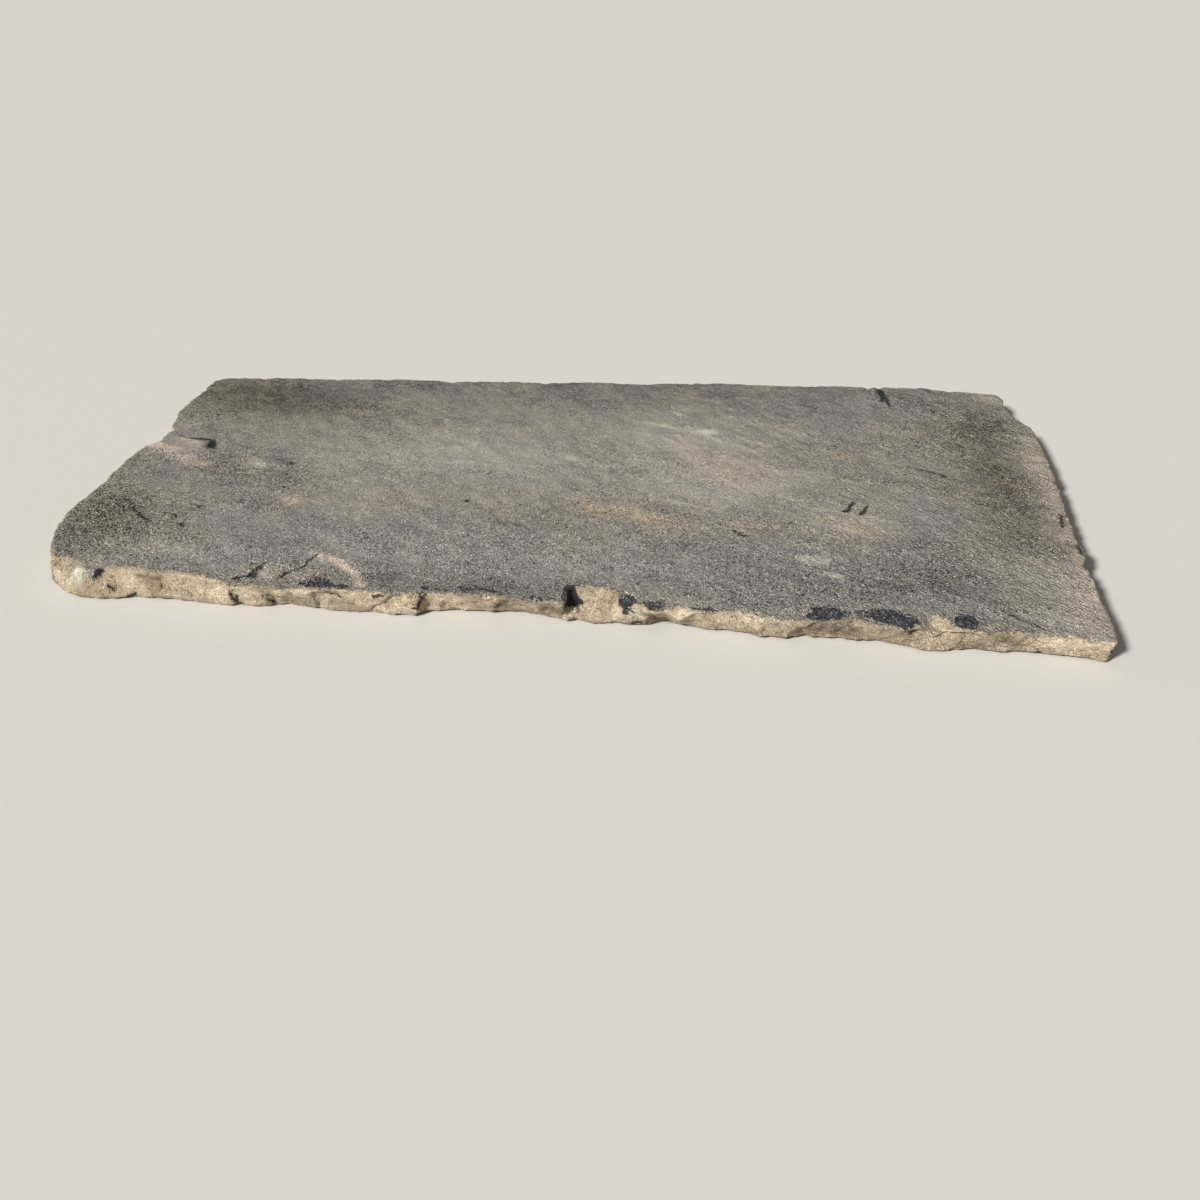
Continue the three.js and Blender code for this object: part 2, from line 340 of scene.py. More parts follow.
# The bend is the power of the way down by which the edge tucks in: high where the foot alone stands out, as
# in the deep scoop, low where the whole edge does, as on the round bulge, and 0 for the hump's upright face
BEND = 1.2
SCOOP_BEND = 0.8                 # this much more in the deep scoop
BULGE_BEND = 0.45                # this much less on the round bulge
SCOOP_SET_BACK = (0.002, 0.016)  # how far the arris lies behind its even course at a scoop's start and depth
SCOOP_FADE = (0.034, 0.050)      # the deep scoop's bend goes down again between these two x
BULGE_RISE = (-0.44, -0.54)      # the round bulge starts at the first x and is full at the second
HUMP_MIDDLE = 0.416
HUMP_HALF = 0.035
hump = np.exp(-((ring[:, 0] - HUMP_MIDDLE) / HUMP_HALF) ** 4) * on_front
scooped = ramp(set_back, *SCOOP_SET_BACK) * (1 - 0.9 * ramp(ring[:, 0], *SCOOP_FADE))
bend = BEND + SCOOP_BEND * scooped - BULGE_BEND * ramp(ring[:, 0], *BULGE_RISE) - BEND * hump
for share in EDGE:
    out = -tuck * share ** bend + BELLY * 4 * share * (1 - share)
    out += (tooth - bite) * (1 - ramp(share, 0.0, 0.3))
    x, y = (ring[:, :2] + outward * out[:, None]).T
    z = top + (base - top) * share
    here = flat(x, y, z)
    bent = here + 0.008 * np.stack([noise(here, 0.03, seed) for seed in (66, 67, 68)], axis=-1)
    scallop = 0.0050 * (flakes(bent * (1, 1, 1.3), 0.048, 61) - 0.45)
    scallop += 0.0034 * (flakes(bent, 0.018, 62) - 0.45)
    bed_number = np.floor((z + 0.004 * noise(here, 0.06, 63)) / LEDGE)
    ledge = 0.0007 * noise(flat(x, y, bed_number * 0.031), 0.035, 64, layers=2)
    roughness = 0.0013 * noise(here, 0.008, 65, layers=3)
    for start, lean, depth, reach in SHELLS:
        along = x - start - lean * (z - 0.5 * THICKNESS) + 0.004 * noise(here, 0.016, 69)
        shell = ramp(along, 0.0, 0.0025) * np.exp(-np.clip(along, 0, None) / reach)
        scallop -= depth * shell * on_front
    strength = ramp(share, -0.15, 0.25) * (1 - 0.35 * ramp(share, 0.7, 1.0))
    shift = (scallop + ledge + roughness) * strength * (1 - 0.3 * age)
    rows.append([x + outward[:, 0] * shift, y + outward[:, 1] * shift, z, share * (top - base)])

heel_x, heel_y = rows[-1][:2]
for share, inset in HEEL:
    x = heel_x - outward[:, 0] * inset
    y = heel_y - outward[:, 1] * inset
    rows.append([x, y, base * share + bed_height(x, y), top - base * share])

bed_outline = np.stack(rows[-1][:2], axis=1)
bed_field = shrunk(even_out(bed_outline, 0.03), FIELD)
for share in UNDER:
    x, y = (bed_outline + share * (bed_field - bed_outline)).T
    rows.append([x, y, bed_height(x, y), np.full(AROUND, 0.1)])
rows = np.array(rows)                                        # row, x y z or rim, column


def patch(loop, across, up):
    """A grid that fills a four-sided loop: each point is the blend of the two side points in its row and the
    two in its column, less the blend of the four corners. The loop has 2 (across + up) points."""
    front = loop[:across + 1]
    right = loop[across:across + up + 1]
    back = loop[across + up:2 * across + up + 1][::-1]
    left = np.concatenate([loop[2 * across + up:], loop[:1]])[::-1]
    u = np.linspace(0, 1, across + 1)[None, :, None]
    v = np.linspace(0, 1, up + 1)[:, None, None]
    corners = (1 - u) * (1 - v) * loop[0] + u * (1 - v) * loop[across]
    corners = corners + u * v * right[-1] + (1 - u) * v * back[0]
    return (1 - v) * front + v * back + (1 - u) * left[:, None] + u * right[:, None] - corners


FACE_CELLS = (COLUMNS[0] // 2, COLUMNS[1] // 2)
BED_CELLS = (COLUMNS[0] // 4, COLUMNS[1] // 4)
face_grid = patch(shrunk(field, 0.99)[::2], *FACE_CELLS)
bed_grid = patch(shrunk(bed_field, 0.98)[::4], *BED_CELLS)

ring_points = rows[:, :3].transpose(0, 2, 1).reshape(-1, 3)
face_points = np.dstack([face_grid, face_height(face_grid[..., 0], face_grid[..., 1])]).reshape(-1, 3)
bed_points = np.dstack([bed_grid, bed_height(bed_grid[..., 0], bed_grid[..., 1])]).reshape(-1, 3)
points = np.concatenate([ring_points, face_points, bed_points])
FACE_START = len(ring_points)
BED_START = FACE_START + len(face_points)


def border(start, across, up):
    """The numbers of a grid's points, counted from start, and those on its border, in the ring's order."""
    grid = start + np.arange((across + 1) * (up + 1)).reshape(up + 1, across + 1)
    return grid, np.concatenate([grid[0, :-1], grid[:-1, -1], grid[-1, :0:-1], grid[:0:-1, 0]])


def cells(grid):
    """Four-cornered faces between the rows and columns of a grid of point numbers, in anticlockwise order."""
    return np.stack([grid[:-1, :-1], grid[:-1, 1:], grid[1:, 1:], grid[1:, :-1]], axis=-1).reshape(-1, 4)


bands = np.arange(FACE_START).reshape(len(rows), AROUND)
bands = np.concatenate([bands, bands[:, :1]], axis=1)
face_numbers, face_border = border(FACE_START, *FACE_CELLS)
bed_numbers, bed_border = border(BED_START, *BED_CELLS)
ring_faces = cells(bands[::-1])
quads = np.concatenate([ring_faces, cells(face_numbers), cells(bed_numbers)[:, ::-1]])

# Three triangles join two columns of the margin to one cell of the face, and five join four to one of the bed
a, b, c = bands[0, :-1:2], bands[0, 1::2], bands[0, 2::2]
inner, inner_on = face_border, np.roll(face_border, -1)
joins = [(inner, a, b), (inner, b, inner_on), (inner_on, b, c)]
a, b, c, d, e = (bands[-1, start:AROUND - 3 + start:4] for start in range(5))
inner, inner_on = bed_border, np.roll(bed_border, -1)
joins += [(b, a, inner), (c, b, inner), (inner_on, c, inner), (d, c, inner_on), (e, d, inner_on)]
triangles = np.concatenate([np.stack(join, axis=1) for join in joins])

slab_mesh = bpy.data.meshes.new("bluestone_slab")
slab_mesh.from_pydata(points.tolist(), [], quads.tolist() + triangles.tolist())
slab_mesh.polygons.foreach_set("use_smooth", np.ones(len(slab_mesh.polygons), dtype=bool))
slab = bpy.data.objects.new("bluestone_slab", slab_mesh)
bpy.context.collection.objects.link(slab)

rim = np.concatenate([rows[:, 3].ravel(), np.full(len(face_points), -0.1), np.full(len(bed_points), 0.1)])
ages = np.concatenate([np.tile(age, len(rows)), np.full(len(face_points) + len(bed_points), 0.5)])
for name, values in (("rim", rim), ("age", ages)):
    slab_mesh.attributes.new(name, "FLOAT", "POINT").data.foreach_set("value", values)

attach(slab, "root")
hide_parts("paver")

# The slab's finish: a weathered grey skin, cooler towards the front and browner at both ends, with a short
# slanting grain, old stains and a few cracks, and the cream sandstone of the broken edges. Some dark marks
# and pale strokes are painted shade and painted highlights.
# Broad patches on the face: x, y, half length, half width, turn in degrees, and strength. They fade softly.
PATCHES = {
    "light": [      # lighter, or darker where negative
        (-0.560, -0.130, 0.016, 0.012, 0, -0.26), (-0.572, -0.190, 0.018, 0.010, 30, 0.26),
        (-0.535, -0.185, 0.016, 0.010, 0, 0.16), (-0.150, 0.030, 0.210, 0.100, -8, 0.30),
        (0.185, 0.020, 0.120, 0.100, -25, 0.40), (0.130, 0.140, 0.100, 0.060, -15, 0.22),
        (0.570, -0.280, 0.080, 0.080, 0, 0.52), (0.597, 0.020, 0.300, 0.018, -89, 0.42),
        (0.560, 0.325, 0.050, 0.012, -35, 0.35), (-0.430, -0.250, 0.090, 0.030, -8, 0.50),
        # the patch at (-0.420, -0.012) is a painted highlight on the second bedding left standing
        (-0.566, -0.083, 0.040, 0.030, 0, 0.15), (-0.420, -0.012, 0.026, 0.014, -15, 0.36),
        (-0.525, 0.040, 0.040, 0.022, -30, 0.30), (-0.500, -0.045, 0.060, 0.030, -10, -0.10),
        (0.331, -0.113, 0.040, 0.030, 0, 0.30), (-0.300, -0.100, 0.130, 0.060, -10, 0.08),
        (-0.480, 0.238, 0.130, 0.075, -18, -0.60), (-0.330, 0.200, 0.100, 0.060, 0, -0.14),
        (-0.560, -0.165, 0.045, 0.060, 20, -0.56), (-0.572, -0.222, 0.034, 0.035, 20, -0.34),
        (-0.505, -0.215, 0.030, 0.030, 0, -0.16), (-0.284, -0.238, 0.004, 0.022, -20, 0.24),
        (-0.262, -0.222, 0.020, 0.005, -40, 0.24), (-0.246, -0.236, 0.004, 0.020, 20, 0.20),
        (-0.240, -0.262, 0.034, 0.014, -40, 0.12), (-0.300, -0.225, 0.040, 0.020, 0, 0.10),
        (-0.322, -0.294, 0.028, 0.016, 0, 0.82), (-0.276, -0.285, 0.024, 0.018, 0, 0.44),
        (-0.205, -0.292, 0.040, 0.026, 0, -0.24), (0.536, 0.050, 0.160, 0.040, -87, -0.50),
        (0.550, 0.215, 0.060, 0.050, 0, -0.26), (0.540, -0.150, 0.060, 0.040, -80, -0.20),
        (0.455, -0.240, 0.090, 0.040, -20, -0.28), (0.340, -0.280, 0.120, 0.040, 0, -0.22),
        (-0.060, -0.302, 0.150, 0.020, 0, -0.27), (0.020, -0.250, 0.120, 0.035, 0, 0.12),
        (0.152, -0.192, 0.030, 0.020, 0, -0.22), (0.000, 0.330, 0.500, 0.110, 2, -0.36),
        (-0.100, -0.200, 0.200, 0.060, 0, 0.14), (0.541, -0.266, 0.015, 0.020, 0, -0.22),
        (-0.120, -0.240, 0.140, 0.040, 0, 0.06), (-0.380, -0.160, 0.090, 0.050, -20, -0.02),
        (0.110, -0.090, 0.050, 0.012, -25, -0.16),
    ],
    "warm": [      # browner, or cooler where negative
        (-0.486, 0.225, 0.130, 0.080, -18, 0.75), (-0.560, -0.170, 0.060, 0.090, 20, 0.55),
        (0.535, 0.030, 0.260, 0.070, -86, 0.65), (-0.090, -0.085, 0.140, 0.040, -3, 0.40),
        (-0.290, 0.100, 0.080, 0.050, 0, 0.20), (-0.250, -0.100, 0.080, 0.030, 0, 0.35),
        (0.200, 0.040, 0.120, 0.100, -25, 0.45), (0.335, 0.100, 0.020, 0.040, 0, 0.40),
        (0.597, -0.020, 0.320, 0.025, -89, 0.60), (0.560, -0.290, 0.080, 0.060, 0, 0.35),
        (0.080, 0.240, 0.120, 0.050, 0, 0.20), (-0.540, 0.040, 0.050, 0.030, 0, 0.4),
        (0.020, -0.260, 0.260, 0.060, 0, -0.30), (0.280, -0.240, 0.150, 0.070, -10, -0.45),
        (-0.210, -0.180, 0.080, 0.050, 0, -0.30), (-0.400, -0.160, 0.070, 0.040, 0, -0.20),
        (0.165, -0.030, 0.050, 0.020, -20, -0.50), (0.350, 0.280, 0.080, 0.050, 0, -0.35),
        (0.441, -0.073, 0.050, 0.040, 0, -0.35), (-0.300, -0.270, 0.120, 0.040, 0, -0.20),
        (-0.160, 0.040, 0.180, 0.090, 0, -0.15), (-0.322, -0.294, 0.028, 0.018, 0, 0.55),
        (-0.262, -0.284, 0.034, 0.020, 0, 0.60),
    ],
    "ochre": [      # rust-yellow stains
        (0.036, -0.093, 0.030, 0.020, -10, 0.68), (0.084, -0.108, 0.052, 0.015, -25, 0.75),
        (0.105, -0.140, 0.030, 0.010, -10, 0.50), (0.150, -0.125, 0.060, 0.016, 0, 0.28),
        (0.225, -0.123, 0.034, 0.015, 0, 0.42), (0.340, -0.122, 0.042, 0.028, -10, 0.60),
        (-0.344, -0.107, 0.014, 0.012, 0, 0.80), (-0.362, -0.130, 0.020, 0.014, 0, 0.35),
        (-0.030, -0.105, 0.050, 0.012, 0, 0.20),
    ],
    "cream": [      # where the skin has come off the face
        (-0.552, -0.296, 0.030, 0.024, 0, 1.0), (-0.522, -0.298, 0.011, 0.014, 0, -2.1),
        (-0.490, -0.295, 0.040, 0.014, 0, 0.95), (-0.420, -0.306, 0.050, 0.012, 0, 0.85),
        (-0.262, -0.300, 0.040, 0.030, 0, 0.62), (-0.322, -0.298, 0.024, 0.018, 0, 0.60),
        (0.142, -0.339, 0.012, 0.010, 0, 2.2), (0.418, -0.350, 0.020, 0.018, 0, 2.2),
        (0.420, -0.330, 0.009, 0.012, 0, 1.2), (0.045, -0.302, 0.016, 0.010, 0, 0.9),
        (0.100, -0.337, 0.010, 0.012, 0, 1.0), (0.384, 0.330, 0.012, 0.016, 0, 0.7),
        (0.337, 0.096, 0.010, 0.010, 0, 1.0), (0.550, 0.335, 0.050, 0.008, -38, 0.5),
        (-0.532, 0.058, 0.010, 0.006, 0, 0.95), (0.343, -0.090, 0.034, 0.003, -12, 0.75),
        (0.180, -0.088, 0.070, 0.004, -8, 0.55), (0.130, -0.060, 0.024, 0.004, -45, 0.6),
    ],
    "rough": [      # coarser grain, or smoother where negative
        (-0.560, -0.190, 0.050, 0.060, 0, 0.75), (-0.268, -0.285, 0.045, 0.030, 0, 0.80),
        (-0.335, -0.292, 0.030, 0.024, 0, 0.45), (-0.465, 0.010, 0.050, 0.035, -30, 0.45),
        (-0.400, -0.045, 0.060, 0.025, -15, 0.40), (-0.575, -0.110, 0.025, 0.040, 0, 0.25),
        (-0.545, 0.050, 0.034, 0.016, -25, -0.45), (-0.420, 0.000, 0.040, 0.012, -15, -0.35),
        (-0.535, -0.025, 0.040, 0.024, 0, -0.30), (-0.486, 0.225, 0.110, 0.070, 0, -0.45),
        (0.450, 0.240, 0.120, 0.130, 0, 0.30), (0.120, -0.300, 0.120, 0.020, 0, 0.15),
        (0.000, 0.120, 0.200, 0.080, -10, -0.15), (0.060, -0.100, 0.090, 0.030, -20, -0.25),
        (-0.350, -0.110, 0.060, 0.020, 0, -0.25), (0.500, -0.310, 0.080, 0.030, 0, 0.20),
    ],
    "chalk": [      # whitish bloom
        (0.291, -0.206, 0.018, 0.012, -10, 2.20), (0.314, -0.242, 0.012, 0.006, -30, 1.9),
        (0.163, 0.161, 0.011, 0.008, 0, 1.8), (0.130, 0.166, 0.050, 0.007, -20, 0.45),
        (0.118, 0.220, 0.012, 0.004, -35, 0.7), (0.192, 0.219, 0.004, 0.005, 0, 0.8),
        (0.226, 0.133, 0.020, 0.006, -20, 0.5), (-0.150, 0.090, 0.012, 0.005, 60, 0.6),
        (-0.183, 0.064, 0.012, 0.006, 0, 0.5), (0.021, 0.129, 0.008, 0.004, 0, 0.7),
        (-0.540, -0.296, 0.010, 0.008, 0, 0.8),
    ],
    "crust_and_shade": [      # dark blue-grey crust by the front arris, and painted shade in the scoops and hollows
        (0.284, -0.336, 0.010, 0.006, 0, 0.7), (0.299, -0.328, 0.018, 0.014, 0, 1.30),
        (0.367, -0.331, 0.026, 0.016, -8, 1.25), (0.388, -0.348, 0.009, 0.012, 0, 2.0),
        (0.442, -0.334, 0.007, 0.013, 0, 1.9), (0.452, -0.334, 0.007, 0.013, 0, 1.9),
        (0.335, -0.328, 0.030, 0.010, 0, 0.35), (0.116, -0.330, 0.020, 0.014, 0, 0.95),
        (0.170, -0.333, 0.018, 0.006, 0, 1.0), (0.225, -0.332, 0.030, 0.006, 0, 0.5),
        # painted shade: the next patches darken the deep scoop's hollow beside its left wall
        (0.023, -0.300, 0.007, 0.008, 35, 4.4), (0.0205, -0.316, 0.005, 0.010, 0, 5.0),
        (0.030, -0.303, 0.006, 0.005, 0, 4.2), (0.006, -0.305, 0.012, 0.007, 0, 0.6),
        (0.083, -0.321, 0.009, 0.012, 0, 2.6), (-0.013, -0.322, 0.030, 0.010, 0, 0.8),
        (-0.085, -0.308, 0.035, 0.012, 0, 0.8), (-0.140, -0.313, 0.015, 0.006, 0, 0.7),
        (-0.264, -0.311, 0.015, 0.009, 0, 2.1), (-0.236, -0.318, 0.012, 0.006, 0, 1.1),
        (-0.267, -0.301, 0.006, 0.005, 0, 1.2), (-0.200, -0.315, 0.030, 0.010, 0, 0.5),
        (-0.339, -0.299, 0.005, 0.007, -20, 1.7), (-0.353, -0.311, 0.007, 0.006, 0, 1.2),
        (-0.516, -0.304, 0.006, 0.004, 0, 1.6), (-0.268, -0.290, 0.036, 0.020, 0, 0.34),
        (-0.373, -0.218, 0.018, 0.012, 0, 0.6), (-0.575, -0.225, 0.014, 0.010, 0, 0.7),
        (-0.567, -0.115, 0.012, 0.008, 0, 0.7), (0.412, 0.320, 0.005, 0.045, 9, 1.5),
        (-0.498, 0.050, 0.007, 0.020, 10, 1.4), (-0.500, -0.170, 0.030, 0.012, -40, 0.4),
    ],
}
upper = points[:, 2] > 0.5 * THICKNESS
for name, patches in PATCHES.items():         # the sum of the patches' bells, in an attribute of that name
    total = np.zeros(len(points))
    for x, y, half_length, half_width, turn, strength in patches:
        half = (half_length, half_width)
        along, across = local(points[:, 0], points[:, 1], (x, y), half, math.radians(turn))
        total += strength * np.exp(-(along ** 2 + across ** 2))
    slab_mesh.attributes.new(name, "FLOAT", "POINT").data.foreach_set("value", total * upper)

stone = bpy.data.materials.new("stone")
stone.use_nodes = True
tree = stone.node_tree


def add(kind, inputs, **settings):
    """Adds a node to the stone with its settings. Each input, by name or place, is a number, a colour or
    another node's output."""
    made = tree.nodes.new("ShaderNode" + kind)
    for name, value in settings.items():
        setattr(made, name, value)
    for place, value in inputs.items():
        if isinstance(value, bpy.types.NodeSocket):
            tree.links.new(value, made.inputs[place])
        else:
            made.inputs[place].default_value = value
    return made


def reading(name):
    """The value of one of the mesh's attributes."""
    return add("Attribute", {}, attribute_name=name).outputs["Fac"]


def grain(place, size, detail=2.0, roughness=0.5):
    """Smooth random value, about 0.3 to 0.7, in grains of this size."""
    inputs = {"Vector": place, "Scale": 1.0 / size, "Detail": detail, "Roughness": roughness}
    return add("TexNoise", inputs).outputs[0]


def between(value, low, high, bottom=0.0, top=1.0):
    """bottom where the value is at low, top where it is at high, and a straight rise between them."""
    return add("MapRange", {0: value, 1: low, 2: high, 3: bottom, 4: top}).outputs[0]


def sum_of(*values):
    """The values added up."""
    total = values[0]
    for value in values[1:]:
        total = add("Math", {0: total, 1: value}, operation="ADD").outputs[0]
    return total


def times(first, second):
    """The product of two values."""
    return add("Math", {0: first, 1: second}, operation="MULTIPLY").outputs[0]


def most(*values):
    """The largest of the values."""
    total = values[0]
    for value in values[1:]:
        total = add("Math", {0: total, 1: value}, operation="MAXIMUM").outputs[0]
    return total


def blend(share, first, second):
    """The first colour where the share is 0 and the second where it is 1."""
    return add("Mix", {0: share, 6: first, 7: second}, data_type="RGBA").outputs[2]


def scaled(shade, share):
    """The colour made darker or lighter by a factor."""
    plain = shade[:3] if isinstance(shade, tuple) else shade
    return add("VectorMath", {0: plain, "Scale": share}, operation="SCALE").outputs[0]


def colour(red, green, blue):
    """A linear colour from the red, green and blue, 0 to 255, that a paint chart gives."""
    return tuple(((part / 255 + 0.055) / 1.055) ** 2.4 for part in (red, green, blue)) + (1.0,)


place = add("TexCoord", {}).outputs["Object"]
WOBBLE_SCALE = 110.0     # bends per metre
WOBBLE_REACH = 0.010
wobble = {"Vector": place, "Scale": WOBBLE_SCALE, "Detail": 3.0, "Roughness": 0.65}
wobble = add("TexNoise", wobble).outputs["Color"]
wobble = add("VectorMath", {0: wobble, 1: (-0.5, -0.5, -0.5)}, operation="ADD").outputs[0]
wobble = add("VectorMath", {0: wobble, "Scale": WOBBLE_REACH}, operation="SCALE").outputs[0]
wandering = add("VectorMath", {0: place, 1: wobble}, operation="ADD").outputs[0]


def turned(angle, stretch):
    """The place, with what is drawn in it stretched along a line at this angle to the slab's long side."""
    rotation = (0.0, 0.0, math.radians(angle))
    inputs = {"Vector": wandering, "Rotation": rotation, "Scale": (stretch, 1.0, 1.0)}
    return add("Mapping", inputs, vector_type="TEXTURE").outputs[0]


def sand(place, size):
    """A random value from 0 to 1 for each grain of this size, with a sharp change from grain to grain."""
    shade = add("TexVoronoi", {"Vector": place, "Scale": 1.0 / size}).outputs["Color"]
    return add("SeparateColor", {"Color": shade}).outputs[0]


def dabs(place, spacing, size):
    """Spots scattered about this far apart, 1 or -1 in the middle by chance and 0 from this size outwards."""
    spots = add("TexVoronoi", {"Vector": place, "Scale": 1.0 / spacing}).outputs
    sign = between(add("SeparateColor", {"Color": spots["Color"]}).outputs[0], 0.49, 0.51, -1.0, 1.0)
    return times(sign, between(spots["Distance"], size / spacing, 0.3 * size / spacing))


parts = add("SeparateXYZ", {"Vector": place}).outputs
rightward = between(parts[0], -0.25, 0.35)
patchy = between(grain(turned(-30, 2.0), 0.070, 2.0, 0.5), 0.40, 0.60, 0.78, 1.36)
coarse = sum_of(between(parts[1], -0.28, 0.30, 1.28, 0.56), between(parts[0], 0.30, 0.50, 0.0, 0.24),
                between(parts[0], -0.20, -0.50, 0.0, 0.30), reading("rough"))
strong = times(patchy, coarse)      # how strong the face's grain and relief are from place to place
cloud = grain(place, 0.120, 5.0, 0.62)
mottle = grain(turned(-54, 1.3), 0.024, 4.0, 0.6)
swell = grain(turned(-54, 1.3), 0.028, 1.5, 0.5)
grit = grain(turned(-80, 1.5), 0.0016, 2.0, 0.6)
hatch = grain(turned(-56, 1.6), 0.0028, 2.0, 0.6)
speck = sand(turned(-80, 1.4), 0.00095)
crystal = sand(turned(-70, 1.3), 0.0021)
fleck = grain(turned(-60, 1.3), 0.0085, 1.5, 0.5)
ripple = grain(turned(-52, 2.0), 0.014, 2.0, 0.5)
crumb = grain(place, 0.0030, 3.0, 0.65)
streak = grain(turned(-20, 6.0), 0.010, 3.0, 0.55)
ticks = dabs(turned(-35, 2.2), 0.020, 0.0020)
sandy = between(grain(place, 0.040, 2.0, 0.5), 0.40, 0.60, 0.35, 0.95)
lines = grain(turned(-54, 5.0), 0.0034, 2.0, 0.5)


def stroke(plane, start, end, width, uneven):
    """1 along the line from start to end, fading to 0 at width from it: the distance to the nearest point of
    it, times a value that makes the line swell, thin and break."""
    run = np.subtract(end, start)
    from_start = add("VectorMath", {0: plane, 1: start}, operation="SUBTRACT").outputs[0]
    share = add("VectorMath", {0: from_start, 1: run / (run @ run)}, operation="DOT_PRODUCT").outputs["Value"]
    held = add("Clamp", {0: share}).outputs[0]
    foot_of = add("VectorMath", {0: tuple(run), "Scale": held}, operation="SCALE").outputs[0]
    gap = add("VectorMath", {0: from_start, 1: foot_of}, operation="DISTANCE").outputs["Value"]
    return between(times(gap, uneven), width, 0.3 * width)


from_above = add("VectorMath", {0: wandering, 1: (1.0, 1.0, 0.0)}, operation="MULTIPLY").outputs[0]
from_front = add("VectorMath", {0: wandering, 1: (1.0, 0.0, 1.0)}, operation="MULTIPLY").outputs[0]
uneven = between(crumb, 0.36, 0.64, 0.4, 3.2)
soft = between(crumb, 0.36, 0.64, 0.7, 1.5)


def strokes(lines, upright, unevenness):
    """The strongest of the strokes along these lines. A line's ends are x and y on the riven face or, if
    upright, x and height on the front edge. Its width follows, and perhaps its strength."""
    drawn = []
    for start, end, width, *strength in lines:
        ends = [(x, 0.0, other) if upright else (x, other, 0.0) for x, other in (start, end)]
        line = stroke(from_front if upright else from_above, *ends, width, unevenness)
        drawn.append(times(line, *strength) if strength else line)
    return most(*drawn)


CRACKS_AND_SHADOWS = [      # dark cracks on the riven face, partly painted shadow behind the flakes' walls and chips
    ((-0.279, -0.247), (-0.294, -0.278), 0.0034), ((-0.294, -0.278), (-0.304, -0.285), 0.0034),
    ((-0.304, -0.285), (-0.307, -0.297), 0.0040), ((-0.536, -0.142), (-0.520, -0.163), 0.0034),
    ((-0.520, -0.163), (-0.504, -0.178), 0.0046), ((-0.522, -0.158), (-0.519, -0.166), 0.0060),
    ((-0.131, -0.084), (-0.130, -0.088), 0.0060), ((0.412, 0.346), (0.408, 0.300), 0.0046),
    ((0.197, -0.141), (0.212, -0.153), 0.0044), ((0.424, 0.070), (0.438, 0.063), 0.0024),
    ((0.438, 0.063), (0.467, 0.047), 0.0032), ((0.494, -0.314), (0.528, -0.343), 0.0028),
    ((0.595, -0.060), (0.592, -0.090), 0.0050), ((0.600, -0.140), (0.602, -0.160), 0.0050),
    ((-0.334, -0.272), (-0.341, -0.292), 0.0054), ((-0.345, -0.306), (-0.356, -0.312), 0.0050),
    ((-0.555, -0.120), (-0.540, -0.132), 0.0030), ((-0.456, -0.133), (-0.454, -0.138), 0.0060),
    ((-0.462, -0.182), (-0.458, -0.188), 0.0064), ((-0.477, -0.160), (-0.474, -0.166), 0.0052),
    ((-0.379, 0.008), (-0.377, 0.003), 0.0040),
]
PIT_SHADES = [        # painted shade: the two comma pits, the fold behind the bedding left standing, and pinholes
    ((0.345, -0.051), (0.340, -0.066), 0.0040), ((0.340, -0.066), (0.334, -0.074), 0.0050),
    ((0.363, -0.059), (0.357, -0.072), 0.0028), ((0.357, -0.072), (0.352, -0.081), 0.0040),
    ((-0.548, 0.073), (-0.515, 0.073), 0.0032), ((-0.515, 0.073), (-0.503, 0.066), 0.0060),
    ((-0.503, 0.064), (-0.499, 0.040), 0.0070), ((0.466, 0.045), (0.467, 0.044), 0.0036),
    ((0.418, 0.046), (0.419, 0.045), 0.0028), ((0.266, -0.113), (0.267, -0.113), 0.0028),
]
EDGE_CRACKS_AND_SHADOWS = [     # dark cracks on the front edge, partly painted shadows of small steps
    ((0.094, 0.0070), (0.106, 0.0045), 0.0042), ((0.090, 0.0040), (0.095, 0.0060), 0.0036),
    ((-0.362, 0.020), (-0.357, 0.006), 0.0040), ((-0.320, 0.013), (-0.314, 0.005), 0.0040),
    ((-0.249, 0.031), (-0.232, 0.022), 0.0024), ((-0.145, 0.031), (-0.142, 0.025), 0.0040),
    ((-0.142, 0.025), (-0.149, 0.013), 0.0044), ((-0.197, 0.026), (-0.185, 0.030), 0.0040),
    ((-0.058, 0.021), (-0.062, 0.012), 0.0036), ((0.081, 0.030), (0.089, 0.024), 0.0050),
    ((0.597, 0.020), (0.599, 0.014), 0.0044), ((-0.4455, 0.0162), (-0.4445, 0.0154), 0.0036),
]
EDGE_CHIP_SHADES = [       # painted shade: chips on the front edge painted solid black
    ((-0.5045, 0.0175), (-0.5030, 0.0162), 0.0026), ((-0.5000, 0.0142), (-0.4980, 0.0124), 0.0028),
    ((-0.486, 0.0030), (-0.476, 0.0052), 0.0026), ((0.085, 0.026), (0.092, 0.022), 0.0034),
    ((-0.5140, 0.0325), (-0.5185, 0.0270), 0.0056),
]
BLOOM_AND_HIGHLIGHT = [       # white chip and painted highlight atop the round bulge, painted highlight on the tooth
    ((-0.537, 0.036), (-0.540, 0.025), 0.011, 0.85), ((0.090, 0.0235), (0.100, 0.0195), 0.0110, 0.40),
]
SMEARS_AND_SHADE = [      # brown dirt and painted shade on the front edge
    ((0.112, 0.022), (0.121, 0.008), 0.012), ((-0.012, 0.028), (0.010, 0.016), 0.011),
    ((0.288, 0.020), (0.335, 0.014), 0.014), ((0.486, 0.024), (0.500, 0.016), 0.010),
    ((-0.472, 0.0290), (-0.446, 0.0265), 0.0050),
]
